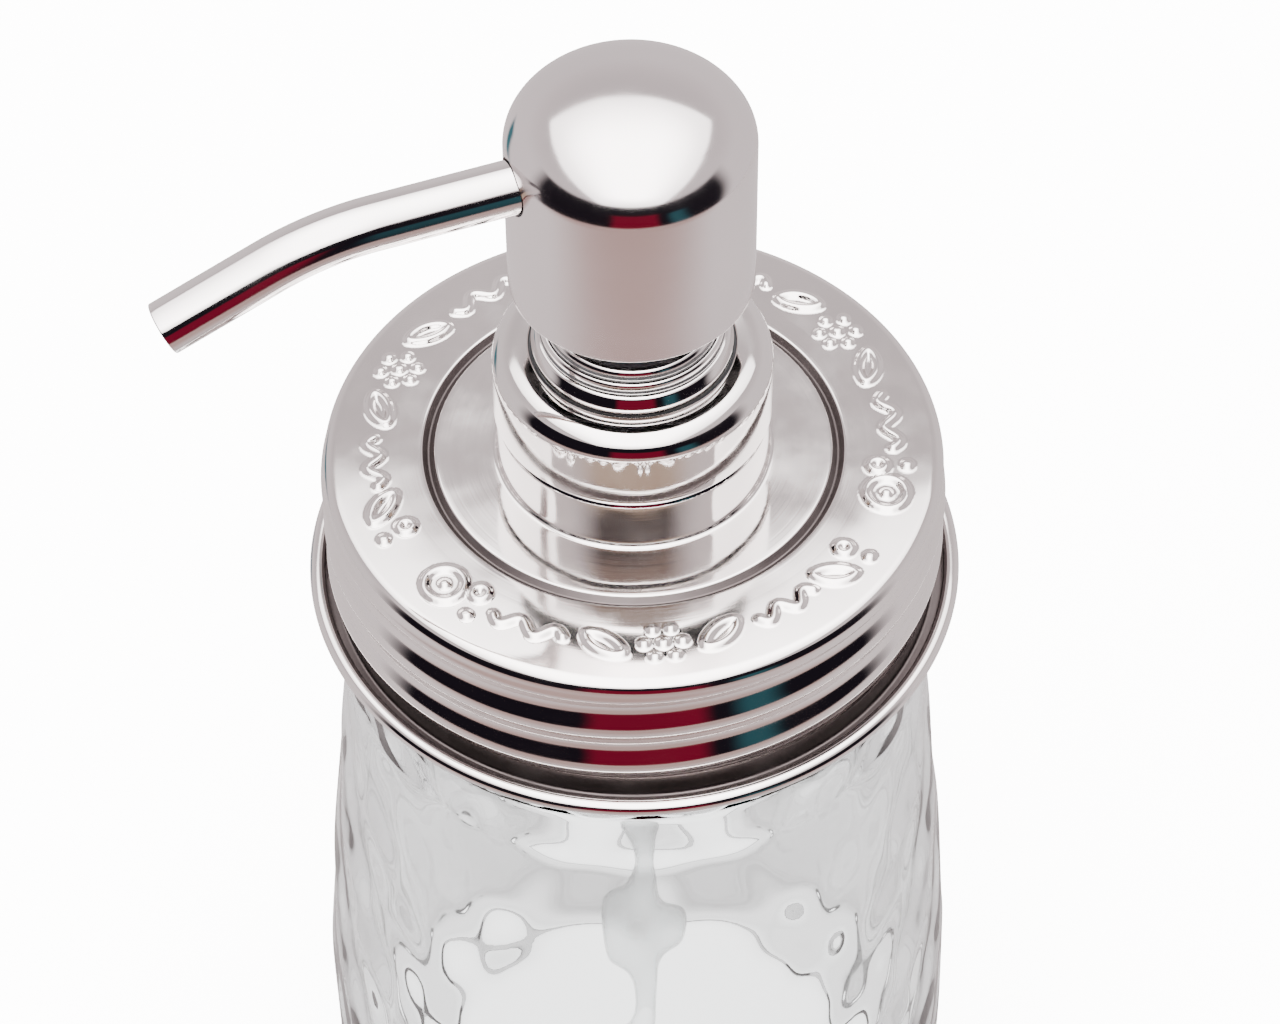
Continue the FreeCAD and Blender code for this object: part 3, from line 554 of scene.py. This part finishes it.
# ---- glass jar -------------------------------------------------------------------------

FACETS = 16
FACET_ROWS = 8
FACET_PARTS = 10
jar_high = low_high("glass_jar")[1]
JAR_TOP = float(jar_high[2])


def jar_outside(height):
    """Radius of the facets' corners at a height."""
    along = max(height - 37.0, 0.0) / 60.0
    return 40.0 - 5.3 * along ** 1.25


def facet_rings():
    """Rings of facet corners from foot to shoulder, as in the CAD jar."""
    turn = math.radians(5.3)
    angles = turn + around(2 * FACETS)
    rings = [(0.0, 36.5, 36.5), (4.0, 39.2, 39.2)]
    for level in range(FACET_ROWS):
        height = 13.0 + 12.0 * level
        high = jar_outside(height)
        pair = (high, high - 0.8) if level % 2 == 0 else (high - 0.8, high)
        rings.append((height, *pair))
    rings.append((104.0, 33.9, 33.9))
    result = []
    for height, even, odd in rings:
        radius = np.where(np.arange(2 * FACETS) % 2 == 0, even, odd)
        result.append(np.stack([radius * np.cos(angles), radius * np.sin(angles),
                                np.full(2 * FACETS, height)], axis=1))
    return result


def facet_rows():
    """The facets as a fine grid, flat inside each facet and soft at its edges."""
    rings = facet_rings()
    rows = []
    across = np.linspace(0, 1, FACET_PARTS, endpoint=False)
    for level in range(len(rings) - 1):
        below = rings[level]
        above = rings[level + 1]
        height = above[0, 2] - below[0, 2]
        parts = max(5, round(height / 0.75))
        for up in np.linspace(0, 1, parts, endpoint=False):
            row = []
            for index in range(2 * FACETS):
                after = (index + 1) % (2 * FACETS)
                a, b, c, d = below[index], below[after], above[after], above[index]
                for side in across:
                    if (index + level) % 2 == 0:
                        if side >= up:
                            row.append(a + (b - a) * side + (c - b) * up)
                        else:
                            row.append(a + (d - a) * up + (c - d) * side)
                    elif side + up <= 1:
                        row.append(a + (b - a) * side + (d - a) * up)
                    else:
                        row.append(c + (d - c) * (1 - side) + (b - c) * (1 - up))
            rows.append(row)
    rows = np.array(rows)
    for _ in range(12):
        rows = (np.roll(rows, 1, axis=1) + 2 * rows + np.roll(rows, -1, axis=1)) / 4
        rows[1:-1] = (rows[:-2] + 2 * rows[1:-1] + rows[2:]) / 4
    return rows


def thread_rise(rows):
    """How far the jar's thread stands out at each point of its neck."""
    turn = np.arctan2(rows[:, :, 1], rows[:, :, 0]) / (2 * math.pi) % 1.0
    rise = np.zeros(turn.shape)
    for lap in (0, 1):
        along = turn + lap
        gap = np.abs(rows[:, :, 2] - (112.0 + JAR_PITCH * along)) / 1.35
        ends = smoothstep(0.0, 0.07, along) * smoothstep(1.4, 1.33, along)
        rise = np.maximum(rise, 0.9 * ends * (1 - np.clip(gap, 0, 1) ** 2) ** 1.3)
    return rise


def glass_body():
    facets = facet_rows()
    columns = facets.shape[1]
    turn = math.radians(5.3)
    neck = rounded([
        (33.9, 104.0, 0),
        (33.45, 104.3, 0.2),
        (34.3, 105.2, 0.5),
        (34.3, 107.0, 0.6),
        (33.4, 107.9, 0.5),
        (33.4, JAR_TOP, 1.1),
        (30.4, JAR_TOP, 1.1),
        (30.4, 93.5, 0),
    ], step=0.45, closed=False)[1:]
    inside = []
    for height in np.linspace(92.0, 14.0, 66):
        squeeze = 0.85 * (max(height - 78.25, 0.0) / 13.75) ** 2
        inside.append((jar_outside(height) - 4.0 - squeeze, height))
    floor = rounded([(36.0, 13.5, 0), (36.0, 6.0, 7.0), (0.6, 6.6, 0)], 1.2, closed=False)
    underside = rounded([(0.6, 0.9, 0), (31.5, 0.9, 1.5), (33.2, 0.0, 0.6), (36.0, 0.0, 0)],
                        1.5, closed=False)

    def turned_rows(points):
        angles = turn + around(columns)
        rows = np.empty((len(points), columns, 3))
        rows[:, :, 0] = points[:, :1] * np.cos(angles)
        rows[:, :, 1] = points[:, :1] * np.sin(angles)
        rows[:, :, 2] = points[:, 1:]
        return rows

    neck_rows = turned_rows(neck)
    outside = np.hypot(neck_rows[:, :, 0], neck_rows[:, :, 1])
    grown = np.where(outside > 32.5, 1 + thread_rise(neck_rows) / outside, 1.0)
    neck_rows[:, :, 0] *= grown
    neck_rows[:, :, 1] *= grown
    rows = np.concatenate([turned_rows(underside), facets, neck_rows,
                           turned_rows(np.array(inside)), turned_rows(floor)])
    piece = lathe("glass_body", rows, poles=(0.9, 6.6), sharp=60)
    finish_piece(piece, GLASS, "jar", "clear_glass", "glass_jar")


glass_body()


# ---- collar and lock ring cover --------------------------------------------------------

def steel_collar():
    low, high = low_high("collar_shell")
    foot, top, radius = float(low[2]), float(high[2]), float(high[0])
    profile = rounded([
        (radius, foot, 0.18),
        (radius, top, 2.9),
        (11.6, top - 0.3, 0.18),
        (11.6, top - 0.7, 0.18),
        (radius - 0.4, top - 0.4, 2.5),
        (radius - 0.4, foot, 0.15),
    ], step=0.5)
    piece = lathe("steel_collar", spun(profile, 360))
    finish_piece(piece, COLLAR_STEEL, "collar", "polished_steel", "collar_shell")


def stepped_cover():
    low, high = low_high("lock_ring_cover")
    foot, top = float(low[2]), float(high[2])
    one, two = foot + 2.55, foot + 3.95
    skin = 0.33
    profile = rounded([
        (11.3, foot, 0.12),
        (11.3, one - 1.5, 0.6),
        (10.8, one, 0.7),
        (10.3, one, 0.12),
        (10.3, two, 0.5),
        (9.6, two, 0.12),
        (9.6, top, 0.8),
        (5.6, top, 0.2),
        (5.6, top - skin, 0.1),
        (9.6 - skin, top - skin, 0.5),
        (9.6 - skin, two - skin, 0),
        (10.3 - skin, two - skin, 0.2),
        (10.3 - skin, one - skin, 0),
        (10.8 - skin, one - skin, 0.4),
        (11.3 - skin, one - 1.5, 0.3),
        (11.3 - skin, foot, 0.1),
    ], step=0.4)
    piece = lathe("stepped_cover", spun(profile, 300))
    finish_piece(piece, COLLAR_STEEL, "pump", "polished_steel", "lock_ring_cover")


steel_collar()
stepped_cover()


# ---- head and spout --------------------------------------------------------------------

head_low, head_high = low_high("head_shell")
SPOUT_HEIGHT = 175.7


def domed_head():
    radius = float(head_high[0])
    foot = float(head_low[2])
    top = float(head_high[2])
    rise = 7.85
    spring = top - rise

    def dome(inset):
        points = []
        for slope in np.radians(np.linspace(88.5, 0.0, 90)):
            along = math.atan2(rise * math.sin(slope), radius * math.cos(slope))
            points.append((radius * math.cos(along) - inset * math.cos(slope),
                           spring + rise * math.sin(along) - inset * math.sin(slope)))
        return np.array(points)

    outside = dome(0.0)
    inside = dome(0.4)
    rim = rounded([
        (outside[-1][0], outside[-1][1] - 0.5, 0),
        (radius, foot, 0.16),
        (radius - 0.4, foot, 0.16),
        (inside[-1][0], inside[-1][1] - 0.5, 0),
    ], step=0.5, closed=False)
    profile = np.concatenate([outside, rim, inside[::-1]])
    piece = lathe("domed_head", spun(profile, 360), poles=(top, top - 0.4))

    work = bmesh.new()
    bmesh.ops.create_cone(work, cap_ends=True, segments=96, radius1=3.28 * MM, radius2=3.28 * MM,
                          depth=12 * MM)
    cutter_mesh = bpy.data.meshes.new("hole_cutter")
    work.to_mesh(cutter_mesh)
    work.free()
    cutter_mesh.transform(Matrix.Translation(Vector((-14 * MM, 0, SPOUT_HEIGHT * MM)))
                          @ Matrix.Rotation(math.pi / 2, 4, "Y"))
    cutter = bpy.data.objects.new("hole_cutter", cutter_mesh)
    bpy.context.scene.collection.objects.link(cutter)
    modifier = piece.modifiers.new("spout_hole", "BOOLEAN")
    modifier.operation = "DIFFERENCE"
    modifier.solver = "EXACT"
    modifier.object = cutter
    bpy.context.view_layer.update()
    evaluated = piece.evaluated_get(bpy.context.evaluated_depsgraph_get())
    pierced = bpy.data.meshes.new_from_object(evaluated)
    piece.modifiers.clear()
    piece.data = pierced
    pierced.shade_smooth()
    pierced.set_sharp_from_angle(angle=math.radians(40))
    bpy.data.objects.remove(cutter)
    finish_piece(piece, HEAD_STEEL, "head", "polished_steel", "head_shell")


def bent_spout():
    """A round tube along a straight run, a bend and a second straight run."""
    start, reach, bend, tip = 3.5, 28.7, 30.4, 12.9
    angle = math.radians(22.7)
    first = reach - start
    second = first + bend * angle
    length = second + tip
    profile = rounded([
        (3.0, 0.0, 0.1),
        (3.0, length, 0.16),
        (2.6, length, 0.16),
        (2.6, 0.0, 0.1),
    ], step=0.6)
    turn = around(72)
    rows = []
    for radius, along in profile:
        bent = min(max((along - first) / bend, 0.0), angle)
        x = -start - min(along, first) - bend * math.sin(bent)
        z = SPOUT_HEIGHT - bend * (1 - math.cos(bent))
        beyond = max(along - second, 0.0)
        x -= beyond * math.cos(bent)
        z -= beyond * math.sin(bent)
        oval = 0.03 * math.exp(-((along - (first + second) / 2) / 6.0) ** 2)
        out = radius * np.cos(turn) * (1 - oval)
        side = radius * np.sin(turn) * (1 + oval * 0.5)
        rows.append(np.stack([x - out * math.sin(bent), side, z + out * math.cos(bent)], axis=1))
    piece = lathe("bent_spout", np.array(rows))
    finish_piece(piece, SPOUT_STEEL, "head", "polished_steel", "spout")


domed_head()
bent_spout()


# ---- finish of the CAD pieces ----------------------------------------------------------

CAD_LOOKS = {
    "jar_seal": SILICONE,
    "neck_washer": SILICONE,
    "flange_washer": SILICONE,
    "neck_adapter": BLACK,
    "neck_nut": BLACK,
    "collar_insert": BLACK,
    "lock_ring": BLACK,
    "ball_cage": WHITE,
    "stem": BLACK,
    "outlet_stop": WHITE,
    "head_core": BLACK,
    "pump_housing": MILKY,
    "dip_tube": MILKY,
    "piston": MILKY,
    "inlet_ball": BALL_STEEL,
    "outlet_ball": BALL_STEEL,
    "pump_spring": BALL_STEEL,
}

for node_name, node_look in CAD_LOOKS.items():
    node_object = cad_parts[node_name]
    if node_object.material_slots:
        for material_slot in node_object.material_slots:
            material_slot.material = node_look
    else:
        node_object.data.materials.append(node_look)


# ---- floor, world and lights -----------------------------------------------------------

CAMERA_SIDE = (math.sin(CAMERA_AZIMUTH), -math.cos(CAMERA_AZIMUTH), 0.0)
CAMERA_RIGHT = (math.cos(CAMERA_AZIMUTH), math.sin(CAMERA_AZIMUTH), 0.0)


def make_floor():
    """A pale table top, evenly bright to the camera; only its middle shows in the steel, in a
    painted dark reflection tone, and it is darker in the glass, with a painted glow under the jar.
    """
    look = Look("floor_paint")
    rays = look.add("ShaderNodeLightPath")
    distance = look.add("ShaderNodeSeparateXYZ")
    look.put(look.turning(), distance.inputs[0])
    through = rays.outputs["Is Transmission Ray"]
    # Painted glow: the floor under the jar emits light only for rays that come through the glass.
    under = look.spread(distance.outputs[0], 0.026, 0.047, 3.7, 0.45)
    seen = look.math("MAXIMUM", look.math("MULTIPLY", rays.outputs["Is Camera Ray"], 7.0),
                     look.math("MULTIPLY", through, under))
    reflected = look.math("MULTIPLY", rays.outputs["Is Glossy Ray"],
                          look.math("SUBTRACT", 1.0, rays.outputs["Is Transmission Ray"]))
    pale = look.blend(look.noise(14.0, 4.0), (0.72, 0.715, 0.712, 1.0), (0.75, 0.745, 0.742, 1.0))
    towards = look.add("ShaderNodeVectorMath", operation="DOT_PRODUCT")
    look.put(look.place, towards.inputs[0])
    look.put(CAMERA_SIDE, towards.inputs[1])
    forward = look.spread(towards.outputs["Value"], 0.02, 0.2)
    # Painted reflection: the dark tone the steel sees in the table, not the table's own colour.
    table = look.blend(forward, (0.104, 0.093, 0.094, 1.0), (0.058, 0.037, 0.034, 1.0))
    # Painted shade: the floor seen through the glass is darker, least so near the jar's foot.
    behind = look.blend(look.spread(distance.outputs[0], 0.026, 0.047),
                        (0.3, 0.296, 0.3, 1.0), (0.085, 0.083, 0.085, 1.0))
    look.set("Base Color", look.blend(through, look.blend(reflected, pale, table), behind))
    look.set("Roughness", 0.9)
    look.set("Emission Color", (1.0, 1.0, 1.0, 1.0))
    look.set("Emission Strength", seen)
    far = look.spread(distance.outputs[0], 0.28, 0.38)
    gone = look.math("MULTIPLY", far, reflected)
    see_through = look.add("ShaderNodeBsdfTransparent")
    mix = look.add("ShaderNodeMixShader")
    look.put(gone, mix.inputs[0])
    look.put(look.shader.outputs[0], mix.inputs[1])
    look.put(see_through.outputs[0], mix.inputs[2])
    output = look.tree.nodes["Material Output"]
    look.put(mix.outputs[0], output.inputs["Surface"])
    mesh = bpy.data.meshes.new("floor")
    mesh.from_pydata([(-4, -4, 0), (4, -4, 0), (4, 4, 0), (-4, 4, 0)], [], [(0, 1, 2, 3)])
    mesh.materials.append(look.material)
    floor = bpy.data.objects.new("floor", mesh)
    bpy.context.scene.collection.objects.link(floor)
    floor.location.z = -0.0001


def make_world():
    world = bpy.data.worlds.new("studio")
    bpy.context.scene.world = world
    world.use_nodes = True
    tree = world.node_tree
    tree.nodes.clear()

    def add(kind, **settings):
        made = tree.nodes.new(kind)
        for key, value in settings.items():
            setattr(made, key, value)
        return made

    def put(value, socket):
        if isinstance(value, bpy.types.NodeSocket):
            tree.links.new(value, socket)
        else:
            socket.default_value = value

    def sum_of(operation, *values):
        made = add("ShaderNodeMath", operation=operation)
        for value, socket in zip(values, made.inputs):
            put(value, socket)
        return made.outputs[0]

    def step(value, low, high):
        made = add("ShaderNodeMapRange", interpolation_type="SMOOTHSTEP")
        for item, socket in zip((value, low, high, 0.0, 1.0), made.inputs):
            put(item, socket)
        return made.outputs[0]

    def mix(share, one, other):
        made = add("ShaderNodeMix", data_type="RGBA")
        put(share, made.inputs[0])
        put(one, made.inputs[6])
        put(other, made.inputs[7])
        return made.outputs[2]

    def along(direction):
        made = add("ShaderNodeVectorMath", operation="DOT_PRODUCT")
        put(place, made.inputs[0])
        put(direction, made.inputs[1])
        return made.outputs["Value"]

    place = add("ShaderNodeTexCoord").outputs["Generated"]
    up = along((0.0, 0.0, 1.0))
    front = along(CAMERA_SIDE)
    side = along(CAMERA_RIGHT)

    def window(value, low, high, soft):
        rise = step(value, low - soft, low + soft)
        fall = sum_of("SUBTRACT", 1.0, step(value, high - soft, high + soft))
        return sum_of("MULTIPLY", rise, fall)

    zenith = sum_of("MAXIMUM", up, 0.05)
    along_front = sum_of("DIVIDE", front, zenith)
    along_side = sum_of("DIVIDE", side, zenith)
    wall = (1.12, 1.0, 1.01, 1.0)
    far_wall = (0.9, 0.8, 0.81, 1.0)
    white = (10.5, 10.2, 10.0, 1.0)
    dark = (0.012, 0.009, 0.014, 1.0)
    red = (0.22, 0.008, 0.03, 1.0)
    teal = (0.03, 0.10, 0.12, 1.0)

    colour = mix(step(up, 0.2, 0.7), wall, far_wall)
    panel = sum_of("MULTIPLY", window(along_front, -0.86, 2.3, 0.035),
                   window(along_side, -1.05, 1.05, 0.05))
    middle = sum_of("MULTIPLY", window(along_front, -0.5, 1.5, 0.45),
                    window(along_side, -0.55, 0.55, 0.4))
    colour = mix(panel, colour, mix(middle, (4.6, 4.4, 4.35, 1.0), white))
    room = sum_of("MULTIPLY", window(up, -0.62, 0.40, 0.03), step(front, -0.05, 0.25))
    colour = mix(room, colour, dark)
    poster = sum_of("MULTIPLY", window(up, -0.55, 0.08, 0.05), window(side, -0.26, 0.35, 0.055))
    colour = mix(sum_of("MULTIPLY", poster, room), colour, red)
    curtain = sum_of("MULTIPLY", window(up, -0.55, 0.02, 0.05), window(side, 0.50, 0.67, 0.06))
    colour = mix(sum_of("MULTIPLY", curtain, room), colour, teal)
    drape = sum_of("MULTIPLY", window(up, -0.5, -0.1, 0.05), window(side, -0.8, -0.67, 0.04))
    behind = sum_of("SUBTRACT", 1.0, step(front, -0.6, -0.4))
    colour = mix(sum_of("MULTIPLY", drape, behind), colour, (0.06, 0.2, 0.24, 1.0))

    rays = add("ShaderNodeLightPath")
    beyond = mix(step(up, 0.0, 0.6), (0.6, 0.585, 0.59, 1.0), (1.5, 1.48, 1.49, 1.0))
    colour = mix(rays.outputs["Is Transmission Ray"], colour, beyond)
    colour = mix(rays.outputs["Is Camera Ray"], colour, (9.5, 9.5, 9.5, 1.0))
    light = add("ShaderNodeBackground")
    put(colour, light.inputs["Color"])
    output = add("ShaderNodeOutputWorld")
    put(light.outputs[0], output.inputs["Surface"])


def softbox(name, place, target, size, power):
    data = bpy.data.lights.new(name, "AREA")
    data.shape = "RECTANGLE"
    data.size = size[0]
    data.size_y = size[1]
    data.energy = power
    lamp = bpy.data.objects.new(name, data)
    bpy.context.scene.collection.objects.link(lamp)
    lamp.location = place
    lamp.rotation_mode = "QUATERNION"
    lamp.rotation_quaternion = (Vector(target) - lamp.location).to_track_quat("-Z", "Y")
    lamp.visible_glossy = False
    lamp.visible_transmission = False
    return lamp


def make_flag():
    """A brown card in front of the pump, seen only where steel reflects in steel."""
    look = Look("card_brown")
    look.tree.nodes.remove(look.shader)
    split = look.add("ShaderNodeSeparateXYZ")
    look.put(look.place, split.inputs[0])
    height = look.math("ADD", split.outputs[2], look.math("MULTIPLY", look.noise(45.0), 0.0015))
    tan = look.blend(look.noise(120.0, 3.0), (0.62, 0.42, 0.30, 1.0), (0.86, 0.66, 0.52, 1.0))
    low = look.blend(look.spread(height, 0.172, 0.176), tan, (0.07, 0.05, 0.05, 1.0))
    colour = look.blend(look.spread(height, 0.184, 0.187), low, (0.34, 0.24, 0.2, 1.0))
    across = look.add("ShaderNodeVectorMath", operation="DOT_PRODUCT")
    look.put(look.place, across.inputs[0])
    across.inputs[1].default_value = CAMERA_RIGHT
    far = look.spread(look.math("ABSOLUTE", across.outputs["Value"]), 0.022, 0.05)
    colour = look.blend(far, colour, (1.12, 1.0, 1.01, 1.0))
    glow = look.add("ShaderNodeEmission")
    look.put(colour, glow.inputs["Color"])
    rays = look.add("ShaderNodeLightPath")
    second = look.math("GREATER_THAN", rays.outputs["Ray Depth"], 1.5)
    clear = look.add("ShaderNodeBsdfTransparent")
    mix = look.add("ShaderNodeMixShader")
    look.put(second, mix.inputs[0])
    look.put(clear.outputs[0], mix.inputs[1])
    look.put(glow.outputs[0], mix.inputs[2])
    look.put(mix.outputs[0], look.tree.nodes["Material Output"].inputs["Surface"])
    front = CAMERA_AZIMUTH - math.pi / 2
    radius = 60.0
    points = []
    faces = []
    for index, turn in enumerate(np.radians(np.linspace(-62, 62, 33))):
        for level in (156.0, 198.0):
            points.append((radius * math.cos(front + turn) * MM,
                           radius * math.sin(front + turn) * MM, level * MM))
        if index:
            last = 2 * index
            faces.append((last - 2, last, last + 1, last - 1))
    mesh = bpy.data.meshes.new("flag")
    mesh.from_pydata(points, [], faces)
    mesh.materials.append(look.material)
    flag = bpy.data.objects.new("flag", mesh)
    bpy.context.scene.collection.objects.link(flag)
    flag.visible_camera = False
    flag.visible_diffuse = False
    flag.visible_transmission = False
    flag.visible_shadow = False


make_floor()
make_world()
make_flag()
softbox("overhead", (0.1, 0.2, 1.3), (0, 0, 0.1), (1.2, 1.2), 95.0)
softbox("left_fill", (-1.1, -0.5, 0.8), (0, 0, 0.1), (0.8, 0.8), 30.0)
